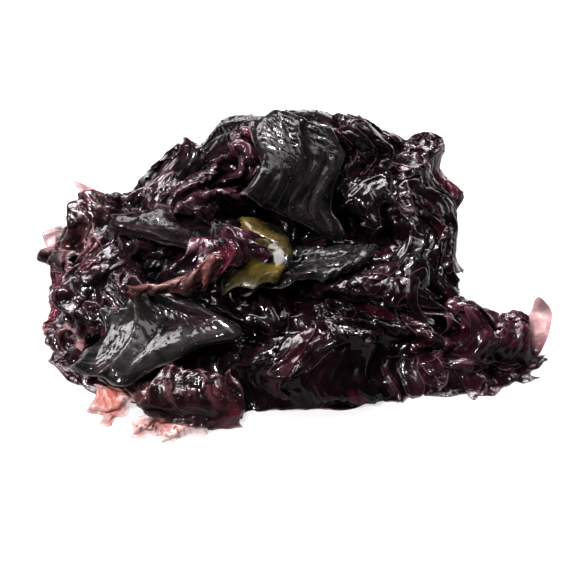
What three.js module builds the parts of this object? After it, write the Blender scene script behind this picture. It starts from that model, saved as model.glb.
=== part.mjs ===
// A wet heap of laver: some thirty soft, film-thin seaweed fronds, folded, crumpled and dropped on each other.
// Units are millimetres, +Z up. The heap lies on the plane z = 0, with the origin under the middle of its outline.
//
// Each frond is a sheet laid on whatever already lies there. Its plan follows a curved midline with a wavy, torn
// margin, its underside is draped over a height map of the heap so far, and its upper side carries its folds.
// Fronds folded over themselves many times are thick in the middle and a single layer at the margin.

import * as THREE from "three";

// Driving dimensions
const FILM = 0.9; // a single layer, swollen with water
const CLEARANCE = 0.9; // upright room between a frond and what it lies on
const FINE_CELL = 3.1; // mesh spacing of a frond
const WIDE_CELL = 4.6; // mesh spacing of the broad fronds inside the heap
const BROAD = 20; // a frond is broad from this half width up
const MAP_STEP = 1; // spacing of the height map
const MAP_REACH = { x: 95, y: 80 }; // half sizes of the height map
const STEEPEST = 2.2; // a film's upright thickness may grow this much on a slope
const WALL_ROOM = 0.35; // extra upright room over a slope of 1, in proportion to the slope
const STEEPEST_WALL = 4; // the slope past which that room grows no more
const SPILL = 0.3; // how far past its own margin a laid frond keeps others clear, as a share of a triangle

// The heap's own form: rounded mounds that run into each other. Height h at centre x, y with half widths rx, ry.
const MOUNDS = [
  { x: -6, y: 8, rx: 62, ry: 48, h: 22 },
  { x: -5, y: 32, rx: 33, ry: 26, h: 45 },
  { x: -48, y: 4, rx: 28, ry: 38, h: 17 },
  { x: -36, y: -28, rx: 26, ry: 22, h: 12 },
  { x: 29, y: 20, rx: 20, ry: 34, h: 24 },
  { x: 35, y: 44, rx: 16, ry: 17, h: 27 },
  { x: 16, y: -22, rx: 26, ry: 20, h: 11 },
  { x: 49, y: -21, rx: 24, ry: 15, h: 6 },
];
const MOUND_BLEND = 4; // a higher power keeps the mounds more distinct
const MOUND_ROUNDNESS = 0.55; // lower values give steeper sides
const FLUTES = { reach: 3.4, spacing: 8, seed: 5 }; // upright folds that push the mounds' sides in and out

// Sideways sway that gives the stacked fronds overhanging lips. Each is a shear, so nothing can cross.
const SWAY = {
  x: { reach: 2.6, perHeight: 0.3, perY: 0.11, phase: 0.4 },
  y: { reach: 2.4, perHeight: 0.28, perX: 0.13, phase: 1.9 },
};

// Fronds from the surface upwards. through: start, middle and end of the midline in plan. half: half widths there.
// folds: their height, and their spacing along and across. lift: how far the free start and end stand up.
// share: how much of the heap's form a many-fold frond fills. flat: its underside rests on the surface.
const FRONDS = [
  { name: "floor_frond", finish: "purple", share: 0.3, flat: true, seed: 11,
    through: [[-57, 5], [-10, 1], [39, 15]], half: [31, 44, 32], folds: { height: 3.4, along: 17, across: 14 } },
  { name: "tail_floor_frond", finish: "purple", seed: 12,
    through: [[16, -29], [42, -28], [65, -23]], half: [9, 9, 7], folds: { height: 4, along: 13, across: 9 } },
  { name: "rose_left_frond", finish: "rose", seed: 13,
    through: [[-41, -34], [-48, -40], [-54, -45]], half: [8, 6, 4], folds: { height: 2.4, along: 10, across: 7 } },
  { name: "rose_front_frond", finish: "rose", seed: 14,
    through: [[-28, -39], [-34, -48], [-39, -55]], half: [10, 9, 6], folds: { height: 2.4, along: 10, across: 7 } },
  { name: "left_floor_frond", finish: "purple", seed: 15,
    through: [[-54, 36], [-61, 12], [-59, -20]], half: [10, 10, 8], folds: { height: 5, along: 12, across: 9 } },
  { name: "back_floor_frond", finish: "purple", seed: 16,
    through: [[-44, 42], [-4, 49], [38, 47]], half: [10, 11, 11], folds: { height: 5, along: 11, across: 12 } },
  { name: "second_frond", finish: "purple", share: 0.56, seed: 21,
    through: [[-48, 4], [-6, 4], [34, 18]], half: [28, 39, 28], folds: { height: 4, along: 15, across: 13 } },
  { name: "third_frond", finish: "purple", share: 0.8, seed: 22,
    through: [[-40, 8], [-4, 12], [30, 22]], half: [22, 32, 24], folds: { height: 4, along: 14, across: 12 } },
  { name: "rear_frond", finish: "purple", seed: 23,
    through: [[-28, 50], [2, 53], [28, 48]], half: [8, 9, 9], folds: { height: 5, along: 11, across: 10 } },
  { name: "back_frond", finish: "purple", seed: 31,
    through: [[-36, 37], [-13, 39], [13, 40]], half: [11, 14, 12], folds: { height: 4, along: 14, across: 11 } },
  { name: "right_frond", finish: "purple", share: 1, seed: 32,
    through: [[26, 30], [36, 15], [35, -5]], half: [12, 12, 10], folds: { height: 5.5, along: 11, across: 9 } },
  { name: "right_lobe_frond", finish: "purple", share: 1, seed: 33,
    through: [[25, 30], [33, 42], [36, 55]], half: [11, 14, 11], folds: { height: 5, along: 10, across: 9 } },
  { name: "upper_left_frond", finish: "purple", seed: 34, lift: [7, 0],
    through: [[-65, 33], [-49, 27], [-30, 23]], half: [6, 11, 11], folds: { height: 5, along: 12, across: 9 } },
  { name: "left_edge_frond", finish: "purple", seed: 35, lift: [3, 0],
    through: [[-65, 24], [-60, 8], [-51, -8]], half: [8, 11, 11], folds: { height: 5, along: 11, across: 9 } },
  { name: "lower_middle_frond", finish: "purple", seed: 36,
    through: [[-2, -25], [18, -23], [39, -21]], half: [8, 9, 8], folds: { height: 5, along: 11, across: 8 } },
  { name: "lower_front_frond", finish: "purple", seed: 51,
    through: [[-18, -34], [2, -35], [24, -33]], half: [7, 8, 6], folds: { height: 4.6, along: 11, across: 8 } },
  { name: "lower_right_frond", finish: "purple", seed: 48,
    through: [[10, -10], [24, -13], [38, -12]], half: [8, 9, 6], folds: { height: 4.5, along: 11, across: 8 } },
  { name: "tail_frond", finish: "purple", seed: 37, lift: [0, 4],
    through: [[40, -22], [53, -21], [64.5, -16]], half: [8, 9, 7], folds: { height: 5, along: 12, across: 9 } },
  { name: "front_frond", finish: "purple", seed: 38,
    through: [[-39, -41], [-28, -44], [-14, -44]], half: [7, 8, 6], folds: { height: 3.6, along: 11, across: 8 } },
  { name: "left_frill_frond", finish: "purple", seed: 39, lift: [2, 0],
    through: [[-61, -22], [-55, -12], [-43, -4]], half: [8, 11, 11], folds: { height: 5.5, along: 10, across: 8 } },
  { name: "middle_left_frond", finish: "purple", seed: 40,
    through: [[-54, 10], [-37, 6], [-20, -1]], half: [10, 12, 9], folds: { height: 5.5, along: 11, across: 9 } },
  { name: "olive_frond", finish: "slate", seed: 49,
    through: [[-52, 3], [-35, 2], [-17, -1]], half: [4, 6, 5], folds: { height: 3.6, along: 16, across: 9 } },
  { name: "middle_right_frond", finish: "slate", seed: 42,
    through: [[-9, -7], [3, -9], [18, 0]], half: [6, 9, 6], folds: { height: 4.6, along: 18, across: 8 } },
  { name: "amber_frond", finish: "amber", seed: 41,
    through: [[-12, 5], [-10, -7], [-11, -18]], half: [5, 8, 8], folds: { height: 2.6, along: 12, across: 9 } },
  { name: "front_left_frond", finish: "slate", seed: 43,
    through: [[-57, -28], [-41, -29], [-22, -20]], half: [8, 12, 8], folds: { height: 4.6, along: 20, across: 10 } },
  { name: "magenta_frond", finish: "purple", seed: 50,
    through: [[-33, -13], [-22, -12], [-11, -10]], half: [5, 5.5, 4], folds: { height: 4, along: 8, across: 7 } },
  { name: "rust_frond", finish: "rose", seed: 44,
    through: [[-44, -21], [-34, -20], [-24, -18]], half: [2, 2.6, 2.2], folds: { height: 2.4, along: 9, across: 8 } },
  { name: "crown_left_frond", finish: "purple", seed: 45,
    through: [[-32, 2], [-20, 13], [-6, 28]], half: [7, 9, 7], folds: { height: 4.4, along: 13, across: 9 } },
  { name: "crown_right_frond", finish: "purple", seed: 46,
    through: [[12, 34], [20, 23], [23, 8]], half: [7, 8, 7], folds: { height: 4.4, along: 11, across: 8 } },
  { name: "crown_frond", finish: "slate", seed: 47,
    through: [[3, 31], [0, 17], [-2, 4]], half: [8, 12, 13], folds: { height: 3.8, along: 18, across: 11 } },
];

const FINISHES = {
  purple: { color: 0x24101a, roughness: 0.22 },
  slate: { color: 0x2b2d2a, roughness: 0.25 },
  amber: { color: 0x5d5a22, roughness: 0.22 },
  rose: { color: 0x8e4a4c, roughness: 0.25 },
};

// Seeded smooth noise from -1 to 1.
const HASH = { a: 374761393, b: 668265263, c: 1274126177, range: 4294967296 };

function hash(column, row, seed) {
  let h = Math.imul(column, HASH.a) ^ Math.imul(row, HASH.b) ^ Math.imul(seed, HASH.c);
  h = Math.imul(h ^ (h >>> 13), HASH.c);
  return ((h ^ (h >>> 16)) >>> 0) / HASH.range;
}

function noise(x, y, seed) {
  const column = Math.floor(x);
  const row = Math.floor(y);
  const s = THREE.MathUtils.smoothstep(x - column, 0, 1);
  const t = THREE.MathUtils.smoothstep(y - row, 0, 1);
  const near = THREE.MathUtils.lerp(hash(column, row, seed), hash(column + 1, row, seed), s);
  const far = THREE.MathUtils.lerp(hash(column, row + 1, seed), hash(column + 1, row + 1, seed), s);
  return THREE.MathUtils.lerp(near, far, t) * 2 - 1;
}

// The heap's own form at a place in plan.
function heapHeight(placeX, placeY) {
  const { reach, spacing, seed } = FLUTES;
  const x = placeX + reach * noise(placeX / spacing, placeY / spacing, seed);
  const y = placeY + reach * noise(placeX / spacing, placeY / spacing, seed + 1);
  let sum = 0;
  for (const m of MOUNDS) {
    const d = ((x - m.x) / m.rx) ** 2 + ((y - m.y) / m.ry) ** 2;
    if (d < 1) sum += (m.h * (1 - d) ** MOUND_ROUNDNESS) ** MOUND_BLEND;
  }
  return sum ** (1 / MOUND_BLEND);
}

// The value at s of the parabola through three values at 0, 1/2 and 1, and its slope.
function parabola([a, b, c], s) {
  return a * (2 * s - 1) * (s - 1) + 4 * b * s * (1 - s) + c * s * (2 * s - 1);
}

function parabolaSlope([a, b, c], s) {
  return a * (4 * s - 3) + 4 * b * (1 - 2 * s) + c * (4 * s - 1);
}

// Where a frond's point s along and v across (-1 to 1) lies in plan, with its wavy margin.
const MARGIN = { sides: 0.13, sideWaves: 9.5, fineSides: 0.09, fineWaves: 23, ends: 0.13, endWaves: 4.2 };

function planPoint(frond, s, v) {
  const phase = frond.seed * 1.7;
  const end = 1 + MARGIN.ends * Math.sin(MARGIN.endWaves * v + phase * (s > 0.5 ? 1 : 2));
  const along = 0.5 + (s - 0.5) * end;
  const xs = frond.through.map((p) => p[0]);
  const ys = frond.through.map((p) => p[1]);
  const slope = new THREE.Vector2(parabolaSlope(xs, along), parabolaSlope(ys, along)).normalize();
  const side = v < 0 ? 1 : 2;
  const wave =
    1 +
    MARGIN.sides * Math.sin(MARGIN.sideWaves * s + phase * side) +
    MARGIN.fineSides * Math.sin(MARGIN.fineWaves * s + phase * 3 * side);
  const out = v * parabola(frond.half, along) * THREE.MathUtils.lerp(1, wave, Math.abs(v));
  return { x: parabola(xs, along) - slope.y * out, y: parabola(ys, along) + slope.x * out };
}

// The height map of everything laid so far, sampled at the middle of each cell.
class HeightMap {
  constructor() {
    this.columns = Math.round((2 * MAP_REACH.x) / MAP_STEP);
    this.rows = Math.round((2 * MAP_REACH.y) / MAP_STEP);
    this.heights = new Float64Array(this.columns * this.rows);
  }

  // Calls visit(index, weights) for each sample under a triangle, with weights for its three corners.
  // spill is how far past the triangle's sides it looks, as a share of the triangle.
  cover(corners, visit, spill = 0) {
    const [a, b, c] = corners.map((p) => ({ x: (p.x + MAP_REACH.x) / MAP_STEP, y: (p.y + MAP_REACH.y) / MAP_STEP }));
    const area = (b.x - a.x) * (c.y - a.y) - (c.x - a.x) * (b.y - a.y);
    const [left, right] = [Math.min(a.x, b.x, c.x), Math.max(a.x, b.x, c.x)];
    const [near, far] = [Math.min(a.y, b.y, c.y), Math.max(a.y, b.y, c.y)];
    const past = spill * Math.max(right - left, far - near);
    const [lowX, highX] = [Math.floor(left - past), Math.ceil(right + past)];
    const [lowY, highY] = [Math.floor(near - past), Math.ceil(far + past)];
    for (let row = lowY; row <= highY; row++) {
      for (let column = lowX; column <= highX; column++) {
        const wb = ((column - a.x) * (c.y - a.y) - (c.x - a.x) * (row - a.y)) / area;
        const wc = ((b.x - a.x) * (row - a.y) - (column - a.x) * (b.y - a.y)) / area;
        const wa = 1 - wb - wc;
        if (Math.min(wa, wb, wc) < -spill - 1e-9) continue;
        const inside = [wa, wb, wc].map((w) => Math.max(0, w));
        const total = inside[0] + inside[1] + inside[2];
        visit(row * this.columns + column, inside.map((w) => w / total));
      }
    }
  }

  // The lowest a frond's underside may lie over a sample: on the bare surface, or clear of what lies there.
  floorAt(index) {
    const height = this.heights[index];
    return height > 0 ? height + CLEARANCE : 0;
  }

  // The highest such level within a radius of a place.
  supportAt(x, y, radius) {
    let best = 0;
    const reach = Math.ceil(radius / MAP_STEP);
    const column = Math.round((x + MAP_REACH.x) / MAP_STEP);
    const row = Math.round((y + MAP_REACH.y) / MAP_STEP);
    for (let dr = -reach; dr <= reach; dr++) {
      for (let dc = -reach; dc <= reach; dc++) {
        if (dr * dr + dc * dc > reach * reach) continue;
        best = Math.max(best, this.floorAt((row + dr) * this.columns + column + dc));
      }
    }
    return best;
  }
}

// A grid of (nu + 1) x (nv + 1) places, and its triangles, split the same way above and below.
function gridOf(frond) {
  const cell = Math.max(...frond.half) > BROAD ? WIDE_CELL : FINE_CELL;
  const [a, b, c] = frond.through;
  const length = Math.hypot(b[0] - a[0], b[1] - a[1]) + Math.hypot(c[0] - b[0], c[1] - b[1]);
  const nu = Math.max(3, Math.round(length / cell));
  const nv = Math.max(2, Math.round((2 * Math.max(...frond.half)) / cell));
  const places = [];
  for (let i = 0; i <= nu; i++) {
    for (let j = 0; j <= nv; j++) {
      const s = i / nu;
      const v = (2 * j) / nv - 1;
      places.push({ ...planPoint(frond, s, v), s, v, along: s * length, across: v * parabola(frond.half, s) });
    }
  }
  const triangles = [];
  for (let i = 0; i < nu; i++) {
    for (let j = 0; j < nv; j++) {
      const k = i * (nv + 1) + j;
      const [p, q, r, t] = [k, k + nv + 1, k + nv + 2, k + 1];
      if ((i + j) % 2) triangles.push([p, q, r], [p, r, t]);
      else triangles.push([p, q, t], [q, r, t]);
    }
  }
  return { nu, nv, places, triangles };
}

// How high a frond's folds stand at a place on it: curved ridges, sharper at the crest, with smaller ones across.
const FOLD_SHARPNESS = 1.4;
const FOLD_DRIFT = 0.8; // how far the ridges wander, in fold spacings
const CREASES = { share: 0.4, finer: 2.1 };
const CLING = 0.55; // the share of their height that folds lose at the margin, where wet film clings

function ridge(a, b, seed) {
  return (1 - Math.abs(noise(a, b, seed))) ** FOLD_SHARPNESS;
}

function foldHeight(frond, place) {
  const { height, along, across } = frond.folds;
  const a = place.along / along;
  const b = place.across / across;
  const drift = FOLD_DRIFT * noise(a * 0.8, b * 0.8, frond.seed + 100);
  const main = ridge(a + drift, b - drift + 0.35 * a, frond.seed);
  const creases = ridge(CREASES.finer * (a - drift), CREASES.finer * (b + drift), frond.seed + 200);
  const toMargin = Math.max(Math.abs(place.v), Math.abs(2 * place.s - 1));
  const cling = 1 - CLING * THREE.MathUtils.smoothstep(toMargin, 0.5, 1);
  return height * cling * ((1 - CREASES.share) * main + CREASES.share * creases);
}

function smoothed(values, nu, nv, passes) {
  let now = values;
  for (let pass = 0; pass < passes; pass++) {
    const before = now;
    now = before.map((value, k) => {
      const i = Math.floor(k / (nv + 1));
      const j = k % (nv + 1);
      const around = [];
      if (i > 0) around.push(before[k - nv - 1]);
      if (i < nu) around.push(before[k + nv + 1]);
      if (j > 0) around.push(before[k - 1]);
      if (j < nv) around.push(before[k + 1]);
      return (value + around.reduce((sum, x) => sum + x, 0) / around.length) / 2;
    });
  }
  return now;
}

// Raises an underside until no sample of the map stands above it.
const LIFT_PASSES = 20;

function liftClear(under, grid, map) {
  for (let pass = 0; pass < LIFT_PASSES; pass++) {
    const raise = new Float64Array(under.length);
    let worst = 0;
    for (const triangle of grid.triangles) {
      map.cover(triangle.map((k) => grid.places[k]), (index, weights) => {
        const level = weights.reduce((sum, w, n) => sum + w * under[triangle[n]], 0);
        const short = map.floorAt(index) - level;
        if (short <= 1e-6) return;
        worst = Math.max(worst, short);
        const square = weights.reduce((sum, w) => sum + w * w, 0);
        weights.forEach((w, n) => {
          raise[triangle[n]] = Math.max(raise[triangle[n]], (short * w) / square);
        });
      });
    }
    for (let k = 0; k < under.length; k++) under[k] += raise[k];
    if (worst < 0.02) break;
  }
}

// How steep a triangle is: the length of its gradient.
function steepness([p, q, r], levels, places) {
  const at = (k) => new THREE.Vector3(places[k].x, places[k].y, levels[k]);
  const normal = at(q).sub(at(p)).cross(at(r).sub(at(p)));
  return Math.hypot(normal.x, normal.y) / Math.abs(normal.z);
}

// How steep a surface is at each place, averaged over the triangles there.
function slopes(levels, grid) {
  const sums = levels.map(() => ({ total: 0, count: 0 }));
  for (const triangle of grid.triangles) {
    const slope = steepness(triangle, levels, grid.places);
    for (const k of triangle) {
      sums[k].total += slope;
      sums[k].count += 1;
    }
  }
  return sums.map(({ total, count }) => total / count);
}

const DRAPE_RADIUS = 1.2; // in cells: how far a frond bridges from one high point to the next
const LIFT_START = 0.55; // the share of a half length over which a free end rises

function layFrond(frond, map) {
  const grid = gridOf(frond);
  const { nu, nv, places } = grid;
  const radius = FINE_CELL * DRAPE_RADIUS;
  const support = places.map((p) => map.supportAt(p.x, p.y, radius));
  const folds = places.map((p) => foldHeight(frond, p));
  let under = smoothed(support, nu, nv, frond.share ? 1 : 2);
  if (!frond.share) under = under.map((level, k) => level + folds[k]);
  if (frond.lift) {
    const [start, end] = frond.lift;
    under = under.map((level, k) => {
      const s = places[k].s;
      const rise = start * THREE.MathUtils.smoothstep(LIFT_START - s, 0, LIFT_START) +
        end * THREE.MathUtils.smoothstep(s, 1 - LIFT_START, 1);
      return level + rise;
    });
  }
  if (frond.flat) under = under.map(() => 0);
  liftClear(under, grid, map);
  const slope = slopes(under, grid);
  const over = under.map((level, k) => {
    const film = FILM * Math.min(STEEPEST, Math.hypot(1, slope[k]));
    const filled = frond.share ? frond.share * heapHeight(places[k].x, places[k].y) + folds[k] : 0;
    const margin = Math.abs(places[k].v) === 1 || places[k].s === 0 || places[k].s === 1;
    return level + (margin ? film : Math.max(film, filled - level));
  });
  for (const triangle of grid.triangles) {
    const room = WALL_ROOM * Math.min(STEEPEST_WALL, steepness(triangle, over, places));
    map.cover(triangle.map((k) => places[k]), (index, weights) => {
      const level = weights.reduce((sum, w, n) => sum + w * over[triangle[n]], 0);
      map.heights[index] = Math.max(map.heights[index], level + room);
    }, SPILL);
  }
  return { frond, grid, under, over };
}

// The sideways sway of a point, which leaves the surface that the heap lies on flat.
function swayed(x, y, z) {
  const a = SWAY.x;
  const b = SWAY.y;
  const settled = THREE.MathUtils.smoothstep(z, 0, 6);
  const newX = x + settled * a.reach * Math.sin(a.perHeight * z + a.perY * y + a.phase);
  const newY = y + settled * b.reach * Math.sin(b.perHeight * z + b.perX * newX + b.phase);
  return new THREE.Vector3(newX, newY, z);
}

// The closed body of a laid frond: its upper side, its underside and the rim between them.
function frondGeometry({ grid, under, over }) {
  const { nu, nv, places, triangles } = grid;
  const count = places.length;
  const points = [over, under].flatMap((levels) => places.map((p, k) => swayed(p.x, p.y, levels[k])));
  const faces = [];
  for (const [p, q, r] of triangles) faces.push([p, q, r], [count + p, count + r, count + q]);
  const rim = [];
  for (let i = 0; i < nu; i++) rim.push(i * (nv + 1));
  for (let j = 0; j < nv; j++) rim.push(nu * (nv + 1) + j);
  for (let i = nu; i > 0; i--) rim.push(i * (nv + 1) + nv);
  for (let j = nv; j > 0; j--) rim.push(j);
  rim.forEach((k, n) => {
    const next = rim[(n + 1) % rim.length];
    faces.push([k, count + k, next], [next, count + k, count + next]);
  });
  const [p, q, r] = triangles[0].map((k) => places[k]);
  const turnsLeft = (q.x - p.x) * (r.y - p.y) - (r.x - p.x) * (q.y - p.y) > 0;
  const index = faces.flatMap(([a, b, c]) => (turnsLeft ? [a, b, c] : [a, c, b]));
  const geometry = new THREE.BufferGeometry().setFromPoints(points);
  geometry.setIndex(index);
  return geometry;
}

const materials = Object.fromEntries(
  Object.entries(FINISHES).map(([name, look]) => [name, new THREE.MeshStandardMaterial({ ...look, metalness: 0 })]),
);

const heap = new THREE.Group();
const map = new HeightMap();
for (const frond of FRONDS) {
  const mesh = new THREE.Mesh(frondGeometry(layFrond(frond, map)), materials[frond.finish]);
  mesh.name = frond.name;
  heap.add(mesh);
}

// The origin goes under the middle of the outline.
const outline = new THREE.Box3().setFromObject(heap);
const middle = outline.getCenter(new THREE.Vector3());
for (const mesh of heap.children) mesh.position.set(-middle.x, -middle.y, -outline.min.z);

export default heap;
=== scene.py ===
import math

import bpy
import numpy as np
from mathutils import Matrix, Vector
from mathutils.bvhtree import BVHTree


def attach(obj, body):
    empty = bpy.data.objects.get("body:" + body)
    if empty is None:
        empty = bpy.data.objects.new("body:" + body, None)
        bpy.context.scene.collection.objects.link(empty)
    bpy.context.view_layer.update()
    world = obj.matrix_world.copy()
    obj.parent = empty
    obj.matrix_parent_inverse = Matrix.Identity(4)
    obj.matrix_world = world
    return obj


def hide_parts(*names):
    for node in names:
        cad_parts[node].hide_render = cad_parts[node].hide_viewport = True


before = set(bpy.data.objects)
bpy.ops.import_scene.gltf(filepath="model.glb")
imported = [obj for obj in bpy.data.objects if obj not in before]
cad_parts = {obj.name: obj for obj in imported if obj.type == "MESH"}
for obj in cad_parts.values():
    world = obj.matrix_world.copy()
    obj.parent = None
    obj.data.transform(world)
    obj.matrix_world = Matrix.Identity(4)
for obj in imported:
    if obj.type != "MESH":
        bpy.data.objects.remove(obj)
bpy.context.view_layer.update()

# A wet heap of laver. Each frond is a film that is crumpled by giving it more material than its place has
# room for, and that settles on the fronds laid before it. Lengths are millimetres until a mesh is made.
MM = 0.001

# The camera: its lens and where it looks from, as the photo shows the heap
LENS_MM = 100
SENSOR_MM = 36
CAMERA_ELEVATION = math.radians(38)
CAMERA_DISTANCE = 446
CAMERA_TARGET = (-2.2, -9.7, 15)

# The fronds' film
LIFT = 0.05  # the least height of a film's underside above the floor
SKIN = 0.2  # the real film's thickness, in the middle of a frond
THIN_SKIN = 0.35  # the share of it that is left at the margin
SKIN_MM = 2.5  # how far in from the margin it is whole
COARSE_CELL = 1.0
BROAD_CELL = 1.8
BROAD = 20  # a frond is broad from this half width up

# The sideways sway of the stacked fronds, the same as the solids have
SWAY_X = {"reach": 2.6, "per_height": 0.3, "per_side": 0.11, "phase": 0.4}
SWAY_Y = {"reach": 2.4, "per_height": 0.28, "per_side": 0.13, "phase": 1.9}
SWAY_SETTLES = 6  # the height from which it is whole

# The fronds' wavy margins in plan, the same as the solids have
SIDES = 0.13
SIDE_WAVES = 9.5
FINE_SIDES = 0.09
FINE_WAVES = 23
ENDS = 0.13
END_WAVES = 4.2
PHASE = 1.7

# Fronds from the surface upwards: name, look, seed, the midline's start, middle and end in plan, half widths
# there, and how much more film there is than room along and across, how deep its folds and its wrinkles are
FRONDS = [
    ("floor_frond", "purple", 11, ((-57, 5), (-10, 1), (39, 15)), (31, 44, 32), (0.03, 0.03, 0.4, 0.6)),
    ("tail_floor_frond", "purple", 12, ((16, -29), (42, -28), (65, -23)), (9, 9, 7), (0.08, 0.08, 0.6, 1)),
    ("rose_left_frond", "rose", 13, ((-41, -34), (-48, -40), (-54, -45)), (8, 6, 4), (0.03, 0.05, 0.5, 0.7)),
    ("rose_front_frond", "rose", 14, ((-28, -39), (-34, -48), (-39, -55)), (10, 9, 6),
     (0.03, 0.05, 0.5, 0.8)),
    ("left_floor_frond", "brown", 15, ((-54, 36), (-61, 12), (-59, -20)), (10, 10, 8), (0.15, 0.15, 0.8, 1)),
    ("back_floor_frond", "purple", 16, ((-44, 42), (-4, 49), (38, 47)), (10, 11, 11), (0.15, 0.15, 0.8, 1)),
    ("second_frond", "shaded_purple", 21, ((-48, 4), (-6, 4), (34, 18)), (28, 39, 28), (0.05, 0.05, 0.6, 0.6)),
    ("third_frond", "shaded_purple", 22, ((-40, 8), (-4, 12), (30, 22)), (22, 32, 24), (0.05, 0.05, 0.6, 0.6)),
    ("rear_frond", "purple", 23, ((-28, 50), (2, 53), (28, 48)), (8, 9, 9), (0.15, 0.15, 1, 1)),
    ("back_frond", "dark", 31, ((-36, 37), (-13, 39), (13, 40)), (11, 14, 12), (0.005, 0.01, 0.15, 0.15)),
    ("right_frond", "shaded_purple", 32, ((26, 30), (36, 15), (35, -5)), (12, 12, 10), (0.07, 0.07, 0.75, 0.6)),
    ("right_lobe_frond", "purple", 33, ((25, 30), (33, 42), (36, 55)), (11, 14, 11), (0.03, 0.05, 0.6, 0.6)),
    ("upper_left_frond", "dark", 34, ((-65, 33), (-49, 27), (-30, 23)), (6, 11, 11), (0.03, 0.04, 0.45, 0.5)),
    ("left_edge_frond", "brown", 35, ((-65, 24), (-60, 8), (-51, -8)), (8, 11, 11), (0.12, 0.12, 0.8, 0.8)),
    ("lower_middle_frond", "shaded_purple", 36, ((-2, -25), (18, -23), (39, -21)), (8, 9, 8), (0.02, 0.03, 0.45, 0.6)),
    ("lower_front_frond", "shaded_purple", 51, ((-18, -34), (2, -35), (24, -33)), (7, 8, 6), (0.01, 0.02, 0.35, 0.6)),
    ("lower_right_frond", "shaded_purple", 48, ((10, -10), (24, -13), (38, -12)), (8, 9, 6), (0.04, 0.05, 0.6, 0.5)),
    ("tail_frond", "magenta", 37, ((40, -22), (53, -21), (64.5, -16)), (8, 9, 7), (0.04, 0.05, 0.8, 0.5)),
    ("front_frond", "brown", 38, ((-39, -41), (-28, -44), (-14, -44)), (7, 8, 6), (0, 0, 0.2, 0.3)),
    ("left_frill_frond", "purple", 39, ((-61, -22), (-55, -12), (-43, -4)), (8, 11, 11),
     (0.12, 0.12, 0.9, 0.7)),
    ("middle_left_frond", "purple", 40, ((-54, 10), (-37, 6), (-20, -1)), (10, 12, 9),
     (0.08, 0.08, 0.8, 0.7)),
    ("olive_frond", "dusk", 49, ((-52, 3), (-35, 2), (-17, -1)), (4, 6, 5), (0.02, 0.04, 0.4, 0.4)),
    ("middle_right_frond", "slate", 42, ((-9, -7), (3, -9), (18, 0)), (6, 9, 6), (0.02, 0.06, 0.5, 0.4)),
    ("amber_frond", "amber", 41, ((-12, 5), (-10, -7), (-11, -18)), (5, 8, 8), (0.01, 0.02, 0.2, 0.1)),
    ("front_left_frond", "sheen_lit_slate", 43, ((-57, -28), (-41, -29), (-22, -20)), (8, 12, 8),
     (0.002, 0.002, 0.1, 0.15)),
    ("magenta_frond", "magenta", 50, ((-33, -13), (-22, -12), (-11, -10)), (5, 5.5, 4),
     (0.06, 0.1, 0.6, 2.2)),
    ("rust_frond", "rust", 44, ((-44, -21), (-34, -20), (-24, -18)), (2, 2.6, 2.2), (0.06, 0.08, 0.6, 1.6)),
    ("crown_left_frond", "purple", 45, ((-32, 2), (-20, 13), (-6, 28)), (7, 9, 7), (0.03, 0.1, 0.35, 1.5)),
    ("crown_right_frond", "shaded_purple", 46, ((12, 34), (20, 23), (23, 8)), (7, 8, 7), (0.06, 0.07, 0.65, 0.7)),
    ("crown_frond", "slate", 47, ((3, 31), (0, 17), (-2, 4)), (8, 12, 13), (0.005, 0.01, 0.15, 0.3)),
]

# Fronds whose solids are closed to below, as many folds of one film
FOLDED = ("floor_frond", "second_frond", "third_frond", "right_frond", "right_lobe_frond")

# The material slot that each look belongs to
SLOTS = {
    **dict.fromkeys(("purple", "shaded_purple", "dark", "magenta", "brown"), "purple_film"),
    **dict.fromkeys(("sheen_lit_slate", "slate", "dusk"), "slate_film"),
    **dict.fromkeys(("rose", "rust"), "rose_film"), "amber": "amber_film",
}


# Numbers and noise
LATTICE = 64  # after how many steps the noise repeats


def smoothstep(x, low, high):
    t = np.clip((x - low) / (high - low), 0, 1)
    return t * t * (3 - 2 * t)


def between(grid, i, next_i, j, next_j, s, t):
    """A grid's values between four of its points, s along and t across."""
    near = grid[i, j] * (1 - s) + grid[next_i, j] * s
    far = grid[i, next_j] * (1 - s) + grid[next_i, next_j] * s
    return near * (1 - t) + far * t


def noise(x, y, seed):
    """Smooth seeded noise from -1 to 1."""
    lattice = np.random.default_rng(seed).uniform(-1, 1, (LATTICE, LATTICE))
    column, row = np.floor(x).astype(int), np.floor(y).astype(int)
    s, t = smoothstep(x - column, 0, 1), smoothstep(y - row, 0, 1)
    i, next_i, j, next_j = column % LATTICE, (column + 1) % LATTICE, row % LATTICE, (row + 1) % LATTICE
    return between(lattice, i, next_i, j, next_j, s, t)


def blurred(grid, radius):
    """A box blur of a grid's first two axes, its edge values held beyond the edge."""
    for axis in (0, 1):
        size = grid.shape[axis]
        reach = min(radius, size - 1)
        if reach < 1:
            continue
        moved = np.moveaxis(grid, axis, 0)
        padded = np.concatenate([np.repeat(moved[:1], reach + 1, 0), moved, np.repeat(moved[-1:], reach, 0)])
        sums = np.cumsum(padded, axis=0)
        grid = np.moveaxis((sums[2 * reach + 1:] - sums[:size]) / (2 * reach + 1), 0, axis)
    return grid


def doubled(grid):
    """A grid with a point added between each two, on a smooth curve through them."""
    for axis in (0, 1):
        moved = np.moveaxis(grid, axis, 0)
        padded = np.concatenate([2 * moved[:1] - moved[1:2], moved, 2 * moved[-1:] - moved[-2:-1]])
        between = (9 * (padded[1:-2] + padded[2:-1]) - padded[:-3] - padded[3:]) / 16
        fine = np.empty((2 * len(moved) - 1,) + moved.shape[1:])
        fine[::2], fine[1::2] = moved, between
        grid = np.moveaxis(fine, 0, axis)
    return grid


# The plan of a frond
def parabola(values, s):
    a, b, c = values
    return a * (2 * s - 1) * (s - 1) + 4 * b * s * (1 - s) + c * s * (2 * s - 1)


def parabola_slope(values, s):
    a, b, c = values
    return a * (4 * s - 3) + 4 * b * (1 - 2 * s) + c * (4 * s - 1)


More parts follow.
